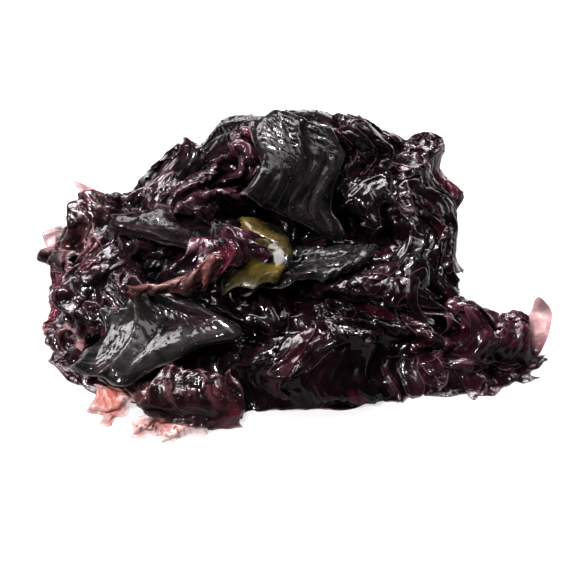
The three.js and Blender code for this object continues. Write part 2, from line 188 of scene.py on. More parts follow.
def plan(through, half, seed, s, v, waves=1.0):
    """Where the point s along and v across, from -1 to 1, lies in plan."""
    phase = seed * PHASE
    end = 1 + waves * ENDS * np.sin(END_WAVES * v + phase * np.where(s > 0.5, 1, 2))
    along = 0.5 + (s - 0.5) * end
    xs, ys = zip(*through)
    slope_x, slope_y = parabola_slope(xs, along), parabola_slope(ys, along)
    length = np.hypot(slope_x, slope_y)
    side = np.where(v < 0, 1, 2)
    wave = SIDES * np.sin(SIDE_WAVES * s + phase * side)
    wave = wave + FINE_SIDES * np.sin(FINE_WAVES * s + phase * 3 * side)
    out = v * parabola(half, along) * (1 + waves * wave * np.abs(v))
    return parabola(xs, along) - slope_y / length * out, parabola(ys, along) + slope_x / length * out


# The sway of the heap, and back again
def swayed(points):
    x, y, z = points[..., 0], points[..., 1], points[..., 2]
    settled = smoothstep(z, 0, SWAY_SETTLES)
    a, b = SWAY_X, SWAY_Y
    new_x = x + settled * a["reach"] * np.sin(a["per_height"] * z + a["per_side"] * y + a["phase"])
    new_y = y + settled * b["reach"] * np.sin(b["per_height"] * z + b["per_side"] * new_x + b["phase"])
    return np.stack([new_x, new_y, z], -1)


def unswayed(points):
    new_x, new_y, z = points[..., 0], points[..., 1], points[..., 2]
    settled = smoothstep(z, 0, SWAY_SETTLES)
    a, b = SWAY_X, SWAY_Y
    y = new_y - settled * b["reach"] * np.sin(b["per_height"] * z + b["per_side"] * new_x + b["phase"])
    x = new_x - settled * a["reach"] * np.sin(a["per_height"] * z + a["per_side"] * y + a["phase"])
    return np.stack([x, y, z], -1)


def placed(name, data):
    """A new object in the scene."""
    thing = bpy.data.objects.new(name, data)
    bpy.context.scene.collection.objects.link(thing)
    return thing


def node_points(name):
    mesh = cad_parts[name].data
    points = np.empty(3 * len(mesh.vertices))
    mesh.vertices.foreach_get("co", points)
    return points.reshape(-1, 3) / MM


PLAN_POINTS = 201  # how many points each way give a plan's extent
ON_FLOOR = 0.01  # what lies lower than this touches the floor


def heap_middle():
    """Where the frame's origin lies in the plan that the fronds are given in."""
    lowest, _, seed, through, half, _ = FRONDS[0]
    s, v = np.meshgrid(np.linspace(0, 1, PLAN_POINTS), np.linspace(-1, 1, PLAN_POINTS), indexing="ij")
    x, y = plan(through, half, seed, s, v)
    points = node_points(lowest)
    low = points[points[:, 2] < ON_FLOOR]
    middle_x = (x.min() + x.max() - low[:, 0].min() - low[:, 0].max()) / 2
    middle_y = (y.min() + y.max() - low[:, 1].min() - low[:, 1].max()) / 2
    return np.array([middle_x, middle_y, 0])


MIDDLE = heap_middle()


def solid_levels(name, x, y):
    """The upper side and underside of a node's solid at places in plan."""
    points = unswayed(node_points(name) + MIDDLE)
    faces = [tuple(face.vertices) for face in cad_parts[name].data.polygons]
    tree = BVHTree.FromPolygons(points.tolist(), faces)
    above, below = points[:, 2].max() + 1, points[:, 2].min() - 1
    top, bottom = np.empty(x.shape), np.empty(x.shape)
    for index in np.ndindex(x.shape):
        for levels, start, way in ((top, above, -1), (bottom, below, 1)):
            place = Vector((x[index], y[index], start))
            hit = tree.ray_cast(place, Vector((0, 0, way)))[0]
            if hit is None:
                hit = tree.find_nearest(Vector((x[index], y[index], (above + below) / 2)))[0]
            levels[index] = hit.z
    return top, bottom


class Levels:
    """A map of the heights of what lies there already, which starts level."""
    STEP = 0.5
    REACH_X = 90
    REACH_Y = 80

    def __init__(self, start):
        size = int(2 * self.REACH_X / self.STEP), int(2 * self.REACH_Y / self.STEP)
        self.levels = np.full(size, float(start))

    def place(self, points):
        return (points[..., 0] + self.REACH_X) / self.STEP, (points[..., 1] + self.REACH_Y) / self.STEP

    def at(self, points):
        column, row = self.place(points)
        i, j = np.floor(column).astype(int), np.floor(row).astype(int)
        return between(self.levels, i, i + 1, j, j + 1, column - i, row - j)

    def take(self, points, keep):
        """Takes over the heights of a film, where keep (np.maximum or np.minimum) prefers them."""
        column, row = self.place(points)
        i, j = np.rint(column).astype(int), np.rint(row).astype(int)
        for di, dj in ((0, 0), (1, 0), (0, 1), (-1, 0), (0, -1)):
            keep.at(self.levels, (i + di, j + dj), points[..., 2])


# Crumpling: how firmly a film keeps its cells square, resists tight folds, and keeps its broad form
SHEAR = 0.8
BEND = 0.3
OPENEST = 0.8  # the straightness that a fold two cells wide is opened to
TINY = 1e-9  # keeps a distance from being nothing
HOLD = 0.25
HOLD_DOWN = 0.05  # the same where it has sunk
HOLD_IN_PLAN = 0.03  # how firmly each point keeps its place in plan
CLEAR = 0.16  # what a film keeps from the one below
MOST_DOWN = 0.25  # how far a round lowers a film that is too high
MOST_UP = 0.3  # how far a round lifts a film that is too low
LAST_UP = 1.5  # how far it is lifted at the end

# A film's freer margin: how far in it reaches, how much less it is held and how much more it sags
FREE_RIM = 1.2
FREE_SHARE = 0.8
RIM_SAG = 2.0

# Patches that are crumpled more: the share outside them, what they add to it, and their size
PATCH_LEAST = 0.3
PATCH_MORE = 0.9
PATCH_MM = 11
PATCH_EDGES = (-0.3, 0.65)  # the noise from which a patch starts and is whole
PATCH_SHIFT = (7.3, 1.9)  # where in the noise they start

# Leaning folds: how far for their height, and the share of that outside the patches that lean most
LEAN = 0.6
LEAN_LEAST = 0.4
LEAN_PATCH_MM = 15
LEAN_BLUR = 4  # how many cells away the broad form is taken from
LEAN_TURN_MM = 35  # over what distance the way turns
LEAN_TURN_SEED = 5

# How much of the crumpling shows where later fronds press on a film, and the gaps that give it none and all
ROOM_LEAST = 0.1
ROOM_GAPS = (1.0, 6.0)

# The steps of crumpling: how much more film there is, how far its cut strays and over what distance, how high
# and how broad the first unevenness is, in how many rounds it settles, over how many cells its broad form is
# taken, and how far it sags in a round
STEP_VALUES = ("growth", "warp", "size", "noise", "grain", "rounds", "blur", "sag")
FOLDS = dict(zip(STEP_VALUES, (1.0, 2.0, 7.0, 1.5, 5, 70, 2, 0.03)))
CREASES = dict(zip(STEP_VALUES, (0.6, 1.1, 3.4, 0.45, 2.4, 50, 3, 0.015)))
WRINKLES = dict(zip(STEP_VALUES, (0.24, 0.6, 1.7, 0.25, 1.3, 30, 4, 0.01)))


def set_apart(a, b, lengths, stiffness, most=np.inf):
    """Moves points a and b towards their rest lengths from each other, in place."""
    apart = b - a
    distance = np.linalg.norm(apart, axis=-1) + TINY
    push = (stiffness * 0.5 * np.minimum(most, 1 - lengths / distance))[..., None] * apart
    a += push
    b -= push


def stretch_pass(points, rest, axis, start):
    """Moves each second pair of neighbours along an axis to its rest length."""
    moved = np.moveaxis(points, axis, 0)
    set_apart(moved[start:-1:2], moved[start + 1::2], np.moveaxis(rest, axis, 0)[start::2], 1)


def shear_pass(points, rest, way, start):
    """The same across each cell of every second row of cells, along one diagonal."""
    upper, lower = points[start:-1:2], points[start + 1::2]
    a, b = (upper[:, :-1], lower[:, 1:]) if way else (upper[:, 1:], lower[:, :-1])
    set_apart(a, b, rest[start::2], SHEAR)


def bend_pass(points, rest, axis):
    """Opens folds that are too tight, by pushing apart points two cells from each other."""
    moved = np.moveaxis(points, axis, 0)
    lengths = np.moveaxis(rest, axis, 0)
    for start in range(4):
        a, b = moved[start:-2:4], moved[start + 2::4]
        count = min(len(a), len(b))
        span = (lengths[start:-1:4] + lengths[start + 1::4])[:count] * OPENEST
        set_apart(a[:count], b[:count], span, BEND, 0)


def patchy(x, y, size, seed):
    """A share from 0 to 1 that changes from patch to patch."""
    return smoothstep(noise(x / size + PATCH_SHIFT[0], y / size + PATCH_SHIFT[1], seed), *PATCH_EDGES)


def edge_lengths(points):
    """The lengths of a grid's edges along and across, and of both diagonals of its cells."""
    return [
        np.linalg.norm(np.diff(points, axis=0), axis=-1),
        np.linalg.norm(np.diff(points, axis=1), axis=-1),
        np.linalg.norm(points[1:, 1:] - points[:-1, :-1], axis=-1),
        np.linalg.norm(points[1:, :-1] - points[:-1, 1:], axis=-1),
    ]


def cut_lengths(form, step, growth, strength, room, seed):
    """The edge lengths of the film before it was crumpled, where room says how much of that it may show."""
    x, y = form[..., 0], form[..., 1]
    patch = PATCH_LEAST + PATCH_MORE * patchy(x, y, PATCH_MM, seed + 3)
    warp = step["warp"] * strength * patch
    film = form.copy()
    film[..., 0] += warp * noise(x / step["size"], y / step["size"], seed)
    film[..., 1] += warp * noise(x / step["size"], y / step["size"], seed + 1)
    growths = [step["growth"] * value for value in (growth[0], growth[1], sum(growth) / 2, sum(growth) / 2)]
    free = room * patch
    rooms = ((free[1:] + free[:-1]) / 2, (free[:, 1:] + free[:, :-1]) / 2, free[1:, 1:], free[1:, 1:])
    return [
        laid + most * (whole * (1 + more) - laid)
        for laid, whole, more, most in zip(edge_lengths(form), edge_lengths(film), growths, rooms)
    ]


def settle(points, form, lengths, heights, ceiling, step):
    """Settles a film that has more material than room. form is the shape it broadly keeps."""
    free = np.exp(-rim_distance(form) / FREE_RIM)[..., None]
    sag = step["sag"] * (1 + RIM_SAG * free[..., 0])
    for _ in range(step["rounds"]):
        points[..., 2] -= sag
        for start in (0, 1):
            stretch_pass(points, lengths[0], 0, start)
            stretch_pass(points, lengths[1], 1, start)
            shear_pass(points, lengths[2], True, start)
            shear_pass(points, lengths[3], False, start)
        bend_pass(points, lengths[0], 0)
        bend_pass(points, lengths[1], 1)
        drift = blurred(points - form, step["blur"]) * (1 - FREE_SHARE * free)
        hold = np.full(points.shape, HOLD)
        hold[..., 2] = np.where(drift[..., 2] < 0, HOLD_DOWN, HOLD)
        points -= hold * drift
        points[..., :2] -= HOLD_IN_PLAN * (points - form)[..., :2]
        points[..., 2] -= np.clip(points[..., 2] - ceiling.at(points), 0, MOST_DOWN)
        points[..., 2] += np.clip(heights.at(points) + CLEAR - points[..., 2], 0, MOST_UP)
    return points


def leaning(points, seed):
    """Lays folds over to one side, a way that turns slowly over the heap."""
    x, y = points[..., 0], points[..., 1]
    height = (points - blurred(points, LEAN_BLUR))[..., 2]
    way = 2 * math.pi * noise(x / LEAN_TURN_MM, y / LEAN_TURN_MM, LEAN_TURN_SEED) + seed
    push = LEAN * height * (LEAN_LEAST + (1 - LEAN_LEAST) * patchy(x, y, LEAN_PATCH_MM, seed + 11))
    moved = points.copy()
    moved[..., 0] += push * np.cos(way)
    moved[..., 1] += push * np.sin(way)
    return moved


def uneven(form, step, depth, room, seed):
    """A copy of a film with the first unevenness, from which it settles into folds."""
    x, y = form[..., 0], form[..., 1]
    points = form.copy()
    grain = step["grain"]
    points[..., 2] += step["noise"] * depth * room * noise(x / grain, y / grain, seed)
    return points


def crumple(form, under, give, heights, ceiling, seed):
    """Crumples a frond in three steps, from broad folds to fine creases."""
    growth, folds, fine = give[:2], give[2], give[3]

    def room(points):
        gap = ceiling.at(points) - heights.at(points)
        return ROOM_LEAST + (1 - ROOM_LEAST) * smoothstep(gap, *ROOM_GAPS)

    sparse = form[::2, ::2]
    points = uneven(sparse, FOLDS, folds, room(sparse), seed)
    lengths = cut_lengths(sparse, FOLDS, growth, folds, room(sparse), seed + 2)
    points = settle(points, sparse, lengths, heights, ceiling, FOLDS)

    form = leaning(form + doubled(points - sparse), seed)
    points = uneven(form, CREASES, fine, room(form), seed + 4)
    lengths = cut_lengths(form, CREASES, growth, fine, room(form), seed + 5)
    points = settle(points, form, lengths, heights, ceiling, CREASES)

    form, under = doubled(points), doubled(under)
    points = uneven(form, WRINKLES, fine, 1, seed + 7)
    lengths = cut_lengths(form, WRINKLES, (fine, fine), fine, room(form), seed + 8)
    points = settle(points, form, lengths, heights, ceiling, WRINKLES)
    points[..., 2] += np.clip(heights.at(points) + CLEAR - points[..., 2], 0, LAST_UP)
    return points, under


# Torn margins: how deep rags and tears go, how strong and broad the two kinds of rags are, how far apart the
# tears are, and the noise from which a tear starts and is whole
RAG_MM = 0.9
TEAR_MM = 1.6
WHOLE_TEARS = 16  # the width from which a frond's tears have their whole depth
BROAD_RAGS = {"share": 0.5, "size": 4.2}
FINE_RAGS = {"share": 0.35, "size": 1.7}
MEAN_RAG = 0.5
TEARS_APART = 3.1
TEAR_EDGES = (0.62, 0.85)
FADE_POWER = 4  # how steeply a bite fades inwards

# The rows of the noise that each of a frond's four sides reads
SIDE_ROWS = (3.5, 8.5)
END_ROWS = (13.5, 19.5)


def bite(place, row, share, seed):
    """How deep the margin is torn in at places along it."""
    broad, fine = BROAD_RAGS, FINE_RAGS
    rag = broad["share"] * noise(place / broad["size"], row, seed)
    rag = rag + fine["share"] * noise(place / fine["size"], row, seed + 1) + MEAN_RAG
    tear = smoothstep(noise(place / TEARS_APART, row, seed + 2), *TEAR_EDGES)
    return share * (RAG_MM * np.clip(rag, 0, 1) + TEAR_MM * tear)


def torn(grids, length, width, seed):
    """Draws the margin inwards unevenly, with a few deeper tears, by resampling each grid."""
    nu, nv = grids[0].shape[:2]
    s, v = np.meshgrid(np.linspace(0, 1, nu), np.linspace(-1, 1, nv), indexing="ij")
    share = min(1, width / WHOLE_TEARS)
    t = 2 * s - 1
    side_bite = bite(s * length, np.where(v < 0, *SIDE_ROWS), share, seed)
    end_bite = bite(v * width / 2, np.where(s < 0.5, *END_ROWS), share, seed)
    new_v = v * (1 - side_bite / (width / 2) * np.abs(v) ** FADE_POWER)
    new_s = (1 + t * (1 - end_bite / (length / 2) * np.abs(t) ** FADE_POWER)) / 2
    column, row = new_s * (nu - 1), (new_v + 1) / 2 * (nv - 1)
    i, j = np.clip(np.floor(column).astype(int), 0, nu - 2), np.clip(np.floor(row).astype(int), 0, nv - 2)
    a, b = column - i, row - j
    out = []
    for grid in grids:
        wide = grid.ndim == 3
        p, q = (a[..., None], b[..., None]) if wide else (a, b)
        out.append(between(grid, i, i + 1, j, j + 1, p, q))
    return out


def rim_distance(points):
    """How far each point is from the margin, along the film."""
    du = np.linalg.norm(np.diff(points, axis=0), axis=-1)
    dv = np.linalg.norm(np.diff(points, axis=1), axis=-1)
    from_start = np.concatenate([np.zeros((1, points.shape[1])), np.cumsum(du, 0)])
    from_side = np.concatenate([np.zeros((points.shape[0], 1)), np.cumsum(dv, 1)], axis=1)
    from_end, from_far_side = from_start[-1:] - from_start, from_side[:, -1:] - from_side
    return np.minimum.reduce([from_start, from_end, from_side, from_far_side])


def normals(points):
    across = np.gradient(points, axis=1)
    along = np.gradient(points, axis=0)
    normal = np.cross(along, across)
    if normal[..., 2].mean() < 0:
        normal = -normal
    return normal / (np.linalg.norm(normal, axis=-1, keepdims=True) + 1e-12)


# What a film's points know: how far in they are, how high on a fold (which sets the painted highlight on
# crests), their place on the frond, their stains
ATTRIBUTES = ("rim_mm", "ridge_mm", "along_mm", "across_mm", "pale", "blush")
RIDGE_BLUR = 2  # over how many cells the film is taken that a ridge stands out of

# Bubbles of water and air: radii, how many are tried, how much a place has to face up, and their shape
BUBBLES = {"least": 0.12, "more": 0.4, "per_cm2": 36, "facing": 0.2}
BUBBLE_VALUES = dict.fromkeys(ATTRIBUTES, 0.0) | {"rim_mm": 9.0}
DOME_RINGS = 5
DOME_SIDES = 8
DOME_HEIGHT = 0.6  # for a radius of 1
ASKEW = (0.3, 1, 0.2)  # a way that no bubble's normal has


def dome():
    """A flattened ball of four-sided faces, for a bubble that is half sunk."""
    points = []
    for ring in range(DOME_RINGS):
        up = math.pi * (ring + 0.5) / DOME_RINGS
        for side in range(DOME_SIDES):
            turn = 2 * math.pi * side / DOME_SIDES
            around = (math.sin(up) * math.cos(turn), math.sin(up) * math.sin(turn))
            points.append((*around, DOME_HEIGHT * math.cos(up)))
    faces = []
    for ring in range(DOME_RINGS - 1):
        for side in range(DOME_SIDES):
            after = (side + 1) % DOME_SIDES
            a, b = ring * DOME_SIDES, (ring + 1) * DOME_SIDES
            faces.append((a + side, b + side, b + after, a + after))
    for base, order in ((0, (0, 1, 2, 3)), ((DOME_RINGS - 1) * DOME_SIDES, (3, 2, 1, 0))):
        for start in range(0, DOME_SIDES - 2, 2):
            ends = (base, base + start + 1, base + start + 2, base + (start + 3) % DOME_SIDES)
            faces.append(tuple(ends[k] for k in order))
    return np.array(points), np.array(faces)


DOME_POINTS, DOME_FACES = dome()


class Film:
    """Closed pieces of film that make one mesh."""

    def __init__(self):
        self.points, self.faces, self.values, self.count = [], [], {}, 0

    def add(self, points, faces, values):
        self.points.append(points)
        self.faces.append(faces + self.count)
        self.count += len(points)
        for key, value in values.items():
            self.values.setdefault(key, []).append(np.broadcast_to(value, len(points)))

    def add_sheet(self, over, lower, values):
        """A sheet between two grids of points."""
        nu, nv = over.shape[:2]
        count = nu * nv
        over[..., 2] = np.maximum(over[..., 2], 2 * LIFT)
        lower[..., 2] = np.maximum(lower[..., 2], LIFT)
        index = np.arange(count).reshape(nu, nv)
        cells = np.stack([index[:-1, :-1], index[1:, :-1], index[1:, 1:], index[:-1, 1:]], -1).reshape(-1, 4)
        ring = np.concatenate([index[:-1, 0], index[-1, :-1], index[:0:-1, -1], index[0, :0:-1]])
        after = np.roll(ring, -1)
        rim = np.stack([ring, ring + count, after + count, after], -1)
        faces = np.concatenate([cells, cells[:, ::-1] + count, rim])
        if faces_down(over):
            faces = faces[:, ::-1]
        points = np.concatenate([over.reshape(-1, 3), lower.reshape(-1, 3)])
        self.add(points, faces, {key: np.tile(grid.ravel(), 2) for key, grid in values.items()})

    def add_bubbles(self, over, normal, bare, count, seed):
        """Small domes of water and air where the film lies bare and faces up."""
        rng = np.random.default_rng(seed)
        flat_over, flat_normal = over.reshape(-1, 3), normal.reshape(-1, 3)
        high = flat_over[:, 2] > BUBBLES["least"] + BUBBLES["more"]
        open_places = bare.ravel() & high & (flat_normal[:, 2] > BUBBLES["facing"])
        for k in rng.choice(len(flat_over), count, replace=False):
            radius = BUBBLES["least"] + BUBBLES["more"] * rng.random() ** 3
            if not open_places[k]:
                continue
            side = np.cross(flat_normal[k], ASKEW)
            side /= np.linalg.norm(side)
            turned = np.stack([side, np.cross(flat_normal[k], side), flat_normal[k]])
            self.add(flat_over[k] + DOME_POINTS * radius @ turned, DOME_FACES, BUBBLE_VALUES)

    def make(self, name):
        points = (swayed(np.concatenate(self.points)) - MIDDLE) * MM
        faces = np.concatenate(self.faces)
        mesh = bpy.data.meshes.new(name)
        mesh.vertices.add(len(points))
        mesh.vertices.foreach_set("co", points.ravel())
        mesh.loops.add(faces.size)
        mesh.loops.foreach_set("vertex_index", faces.ravel().astype(np.int32))
        mesh.polygons.add(len(faces))
        mesh.polygons.foreach_set("loop_start", np.arange(0, faces.size, 4, dtype=np.int32))
        mesh.update(calc_edges=True)
        mesh.shade_smooth()
        for key in ATTRIBUTES:
            parts = self.values[key]
            values = np.concatenate(parts).astype(np.float32)
            mesh.attributes.new(key, "FLOAT", "POINT").data.foreach_set("value", values)
        return placed(name, mesh)


def faces_down(over):
    """Whether a grid's cells, in their order, face mostly downwards."""
    corner = over[:-1, :-1]
    return np.cross(over[1:, :-1] - corner, over[:-1, 1:] - corner)[..., 2].mean() < 0


def film_values(rim, crest_highlight_and_streak, s, v, length, width, pale, blush):
    """What each point of a sheet of film knows."""
    return dict(zip(ATTRIBUTES, (rim, crest_highlight_and_streak, s * length, v * width / 2, pale, blush)))


def ridges(points):
    """How far each point stands out of the film around it."""
    return (points - blurred(points, RIDGE_BLUR))[..., 2]


def skinned(points, rim):
    """The upper and lower side of a film along a grid of points, thinner at the margin."""
    normal = normals(points)
    skin = SKIN * (THIN_SKIN + (1 - THIN_SKIN) * smoothstep(rim, 0, SKIN_MM))[..., None]
    return points + normal * skin / 2, points - normal * skin / 2, normal


# Bleached and crimson places: what it is, how far along and across the frond, and its reach
SPOTS = {
    "upper_left_frond": (("pale", 0.0, 0.0, 9), ("pale", 0.25, -1.0, 4)),
    "left_edge_frond": (("pale", 0.05, -1.0, 7), ("blush", 0.6, -1.0, 7)),
    "left_frill_frond": (("pale", 0.0, 0.5, 2.5), ("blush", 0.1, -0.5, 8)),
    "left_floor_frond": (("blush", 0.7, -1.0, 9), ("pale", 1.0, 0.0, 3)),
    "tail_frond": (("pale", 1.0, 0.6, 6), ("blush", 0.3, 1.0, 9)),
    "tail_floor_frond": (("pale", 1.0, 0.6, 7),),
    "right_lobe_frond": (("blush", 0.6, -1.0, 5), ("pale", 0.85, -0.95, 3.5)),
    "back_frond": (("pale", 0.0, 0.4, 5), ("blush", 0.5, 1.0, 4)),
    "crown_left_frond": (("blush", 1.0, 0.0, 10),),
    "crown_right_frond": (("blush", 0.4, -0.4, 4),),
    "front_frond": (("blush", 0.9, -1.0, 6),),
    "lower_front_frond": (("blush", 0.8, -1.0, 3),),
    "magenta_frond": (("blush", 0.45, -0.4, 4),),
}
SPOT_FADE = 0.6  # the share of a spot's reach over which it fades
SPOT_RAGS = {"depth": 0.5, "size": 2.5}  # how uneven its edge is, and over what distance


def spots(kind, name, s, v, length, width, seed):
    """How much a kind of spot covers each point of a frond."""
    cover = np.zeros(s.shape)
    rags = noise(s * length / SPOT_RAGS["size"], v * width / 2 / SPOT_RAGS["size"], seed + 21)
    for spot_kind, at_s, at_v, reach in SPOTS.get(name, ()):
        if spot_kind == kind:
            far = np.hypot((s - at_s) * length, (v - at_v) * width / 2) * (1 + SPOT_RAGS["depth"] * rags)
            cover = np.maximum(cover, smoothstep(reach - far, 0, SPOT_FADE * reach))
    return cover


# How far a frond's film goes past its plan's ends and sides
PAST_END = 0.02
PAST_SIDE = 0.06

# Fronds whose margins are straighter than the others', and how wavy they stay
SMOOTH_MARGINS = {
    "crown_frond": 0.25, "right_lobe_frond": 0.2, "back_frond": 0.5, "amber_frond": 0.5,
    "front_left_frond": 0.5, "olive_frond": 0.5, "lower_front_frond": 0.4, "lower_middle_frond": 0.5,
    "front_frond": 0.5, "floor_frond": 0.3, "right_frond": 0.4, "second_frond": 0.5,
}

# Low fronds whose margins cling to what is below, and how far in
PRESSED = (
    "floor_frond", "tail_floor_frond", "left_floor_frond", "second_frond", "lower_middle_frond",
    "lower_front_frond", "tail_frond", "front_frond",
)
PRESS_MM = 6

# Smooth fronds, how far their solids' folds are levelled, and towards what
LEVELLED = {
    "front_left_frond": (0.95, 3), "crown_frond": (0.75, 6), "amber_frond": (0.5, 6), "olive_frond": (0.6, 6),
    "back_frond": (0.85, 6), "middle_right_frond": (0.4, 6), "lower_front_frond": (0.7, 6),
    "lower_middle_frond": (0.4, 6), "front_frond": (1.0, 6),
}


def levelled(level, s, v, share, terms):
    """A frond's level, drawn towards a plane (3 terms) or a smooth bowl (6 terms) through it."""
    curves = np.stack([np.ones(s.shape), s, v, s * s, s * v, v * v][:terms], -1).reshape(-1, terms)
    smooth = curves @ np.linalg.lstsq(curves, level.ravel(), rcond=None)[0]
    return level + share * (smooth.reshape(level.shape) - level)


# Sharp pleats: from and to, as places along and across the frond, and their height and reach in mm
PLEATS = {
    "front_left_frond": (((0.62, 0.9), (0.2, -1.0), 3.0, 3.2), ((0.95, 0.0), (0.62, 0.9), 2.0, 3.0)),
    "lower_front_frond": (((0.45, 0.8), (0.9, -0.4), 1.8, 2.4),),
    "front_frond": (((0.25, 0.9), (0.45, -0.9), 1.3, 1.7), ((0.6, 0.9), (0.75, -0.6), 1.2, 1.7)),
    "crown_frond": (((0.1, 0.15), (0.55, -0.05), 1.1, 2.6), ((0.4, 0.65), (0.85, 0.45), 0.9, 2.8)),
    "crown_left_frond": (((0.1, 0.2), (1.0, 0.1), 2.0, 2.4), ((0.0, -0.4), (0.8, -0.5), 1.6, 2.2)),
}


def pleats(name, s, v, length, width):
    """The height that a frond's sharp pleats add to it."""
    height = np.zeros(s.shape)
    for (s0, v0), (s1, v1), high, reach in PLEATS.get(name, ()):
        start, end = np.array([s0 * length, v0 * width / 2]), np.array([s1 * length, v1 * width / 2])
        place = np.stack([s * length, v * width / 2], -1) - start
        share = np.clip(place @ (end - start) / np.sum((end - start) ** 2), 0, 1)
        far = np.linalg.norm(place - share[..., None] * (end - start), axis=-1)
        height = np.maximum(height, high * np.maximum(0, 1 - far / reach))
    return height


def frond_form(row):
    """The grid of places of a frond, its broad shape and its solid's underside."""
    name, _, seed, through, half, _ = row
    length = math.dist(*through[:2]) + math.dist(*through[1:])
    width = 2 * max(half)
    cell = BROAD_CELL if width > 2 * BROAD else COARSE_CELL
    nu, nv = 2 * max(2, round(length / cell / 2)) + 1, 2 * max(2, round(width / cell / 2)) + 1
    along, across = np.linspace(-PAST_END, 1 + PAST_END, nu), np.linspace(-1 - PAST_SIDE, 1 + PAST_SIDE, nv)
    s, v = np.meshgrid(along, across, indexing="ij")
    x, y = plan(through, half, seed, s, v, SMOOTH_MARGINS.get(name, 1.0))
    top, bottom = solid_levels(name, x, y)
    level = top - SKIN if name in FOLDED else (top + bottom) / 2
    if name in LEVELLED:
        level = levelled(level, s, v, *LEVELLED[name])
    if name in PRESSED:
        from_side, from_end = 1 + PAST_SIDE - np.abs(v), 0.5 + PAST_END - np.abs(s - 0.5)
        edge = np.minimum(from_side * width / 2, from_end * length)
        level = level * smoothstep(edge, -PRESS_MM / 3, PRESS_MM)
    form = np.stack([x, y, blurred(level, 1) + pleats(name, s, v, length, width)], -1)
    return form, np.stack([x, y, bottom], -1), s, v, length, width


OPEN = 200  # higher than anything
ROOM = 1.6  # what a film leaves for a later frond's solid above it


def ceilings(forms):
    """For each frond, how high it may come under the fronds that are laid on it."""
    level = Levels(OPEN)
    result = []
    for _, under, *_ in reversed(forms):
        result.append(level)
        level = Levels(OPEN)
        level.levels[:] = result[-1].levels
        fine = doubled(doubled(under))
        fine[..., 2] -= ROOM
        level.take(fine, np.minimum)
    return result[::-1]


# Torn flaps of film that lie on the fronds, and how many there are on the crumpled ones
FLAPS = {
    "second_frond": 6, "third_frond": 8, "right_frond": 8, "right_lobe_frond": 5, "upper_left_frond": 4,
    "left_edge_frond": 6, "lower_middle_frond": 6, "lower_front_frond": 7, "lower_right_frond": 6,
    "tail_frond": 6, "left_frill_frond": 6, "middle_left_frond": 6, "crown_right_frond": 2,
    "tail_floor_frond": 5,
}
FLAP_CELL = 0.9
FLAP_TRIES = 12  # how often a bare place is looked for
FLAP_ALONG = (0.15, 0.85)  # where on a frond, as shares
FLAP_ACROSS = (0.22, 0.78)
FLAP_ROOM = 5  # the least gap below later fronds
FLAP_LENGTHS = (7, 14)
FLAP_WIDTHS = (4, 8)
FLAP_BENDS = (-3, 3)
FLAP_ENDS = 0.15  # how much shorter its sides are than its middle
FLAP_TAPER = 0.5  # how much narrower its ends are than its middle
FLAP_LIFT = 0.4
FLAP_RISES = (0, 2.2)  # how far its raised side stands up
FLAP_GIVE = (0.04, 0.06, 0.5, 0.7)
FLAP_BLUSH = 0.3


def flap_place(points, heights, ceiling, rng):
    """A place on a frond that no later one covers, or None."""
    nu, nv = points.shape[:2]
    for _ in range(FLAP_TRIES):
        place = points[int(nu * rng.uniform(*FLAP_ALONG)), int(nv * rng.uniform(*FLAP_ACROSS))]
        if ceiling.at(place) - heights.at(place) > FLAP_ROOM:
            return place
    return None


def add_flap(film, points, heights, ceiling, seed):
    """A small bent film, crumpled on what lies there, if a bare place for it is found."""
    rng = np.random.default_rng(seed)
    middle = flap_place(points, heights, ceiling, rng)
    if middle is None:
        return
    turn, length, width = rng.uniform(0, math.pi), rng.uniform(*FLAP_LENGTHS), rng.uniform(*FLAP_WIDTHS)
    bend = rng.uniform(*FLAP_BENDS)
    cells = [2 * max(2, round(size / FLAP_CELL / 2)) + 1 for size in (length, width)]
    s, v = np.meshgrid(np.linspace(0, 1, cells[0]), np.linspace(-1, 1, cells[1]), indexing="ij")
    t = 2 * s - 1
    along = t * length / 2 * (1 - FLAP_ENDS * v * v)
    across = v * width / 2 * (1 - FLAP_TAPER * np.abs(t) ** 3) + bend * t * t
    x = middle[0] + along * math.cos(turn) - across * math.sin(turn)
    y = middle[1] + along * math.sin(turn) + across * math.cos(turn)
    laid = blurred(heights.at(np.stack([x, y], -1)), 2)
    level = laid + FLAP_LIFT + rng.uniform(*FLAP_RISES) * smoothstep(v, 0, 1)
    form = np.stack([x, y, level], -1)
    flap, _ = crumple(form, form, FLAP_GIVE, heights, ceiling, seed)
    flap, s, v = torn([flap, doubled(s), doubled(v)], length, width, seed)
    heights.take(doubled(flap), np.maximum)
    rim = rim_distance(flap)
    over, lower, _ = skinned(flap, rim)
    blush = np.full(s.shape, FLAP_BLUSH * rng.random() ** 4)
    film.add_sheet(over, lower, film_values(rim, ridges(flap), s, v, length, width, np.zeros_like(s), blush))


# Bleached tips that stand off a frond: base, end, width at the base
TIPS = {
    "upper_left_frond": (((-57, 30, 17), (-63.5, 34.7, 22), 6),),
    "left_edge_frond": (((-64, 20, 12), (-69.5, 24, 17), 6),),
    "tail_frond": (((62.5, -19, 4), (67, -14.5, 14.5), 13),),
}
TIP_POINTS = (25, 17)
TIP_TAPER = 1.6  # the power that narrows a tip
TIP_END = 0.3  # half its end's width
TIP_RIPPLES = {"depth": 0.12, "along": 9}
TIP_ARCH = 1.6  # four times its middle's rise
TIP_CUP = 1.2  # how far its sides hang at the base
TIP_DENTS = {"depth": 0.35, "along": 4, "across": 2}
TIP_PALE = 0.6
TIP_PALE_FROM = (0.05, 0.5)
TIP_BLUSH = 0.4


